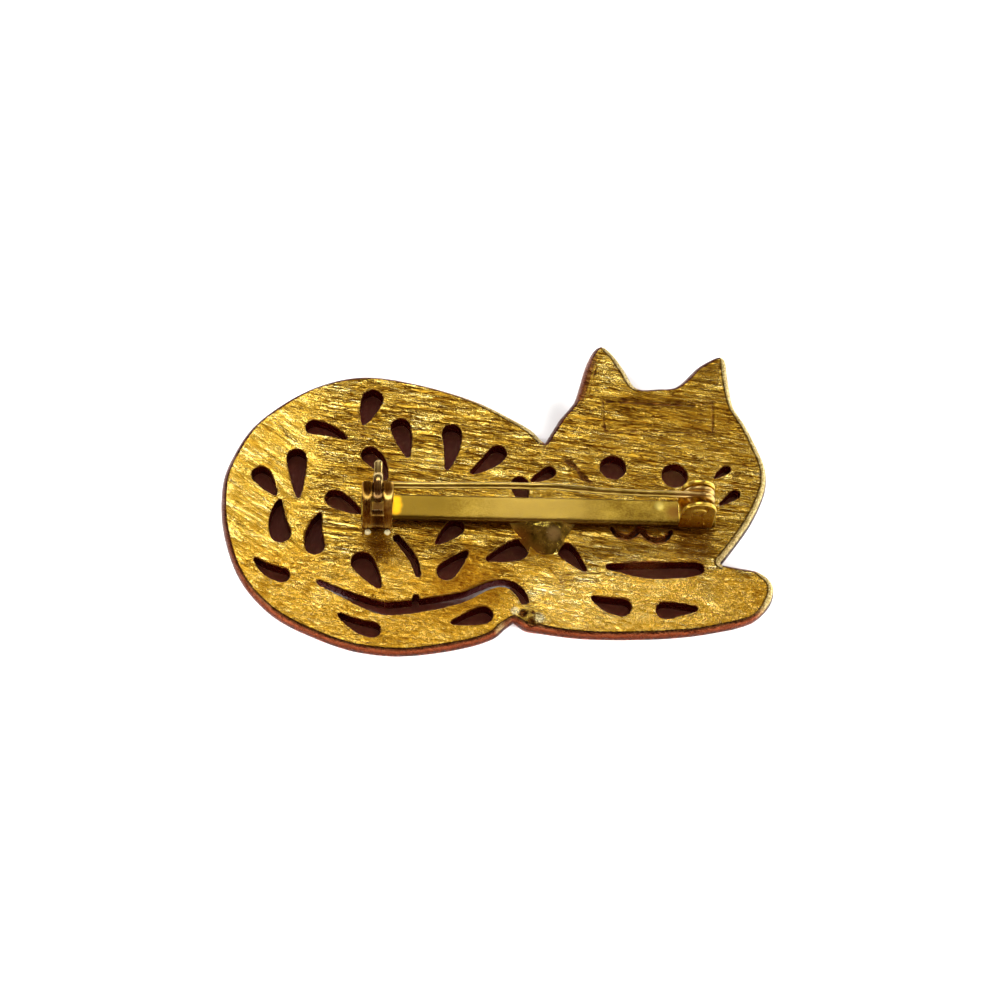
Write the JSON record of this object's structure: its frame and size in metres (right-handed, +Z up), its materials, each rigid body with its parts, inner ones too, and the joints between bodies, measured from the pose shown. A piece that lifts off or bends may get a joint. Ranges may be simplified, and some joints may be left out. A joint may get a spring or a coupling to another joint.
{
  "type": "pierced cat brooch with a bar pin back",
  "caption": "Flat pierced cast brooch in the form of a lying cat, lying front down, with a soldered bar pin back, a hinged pin stem and a rollover safety catch.",
  "frame": {"origin": "on the surface that the brooch lies on, below the middle of its bounding box", "axes": "+X from the cat's back to its paws, along the bar towards the hinge; +Y towards the tips of the cat's ears; +Z up, out of the filed back and away from the cast front"},
  "size_m": [0.0546, 0.0356, 0.0084],
  "materials": {
    "casting": "filed flat with fine parallel scratches, rounded rim tarnished brown",
    "wire": "drawn wire, bright",
    "catch": "stamped and plated, bright"
  },
  "bodies": {
    "brooch": {"cat_body": "casting", "hinge_rivet": "wire"},
    "stem": {"pin_stem": "wire"},
    "catch": {"catch_barrel": "catch"}
  },
  "joints": [
    {"name": "stem_swing", "type": "hinge", "parent": "brooch", "child": "stem", "pos_m": [0.01949, -0.00245, 0.00503], "axis": [0, 1, 0], "range_deg": [0, 95]},
    {"name": "catch_turn", "type": "hinge", "parent": "brooch", "child": "catch", "pos_m": [-0.01191, -0.00281, 0.0068], "axis": [1, 0, 0], "range_deg": [0, 110]}
  ]
}
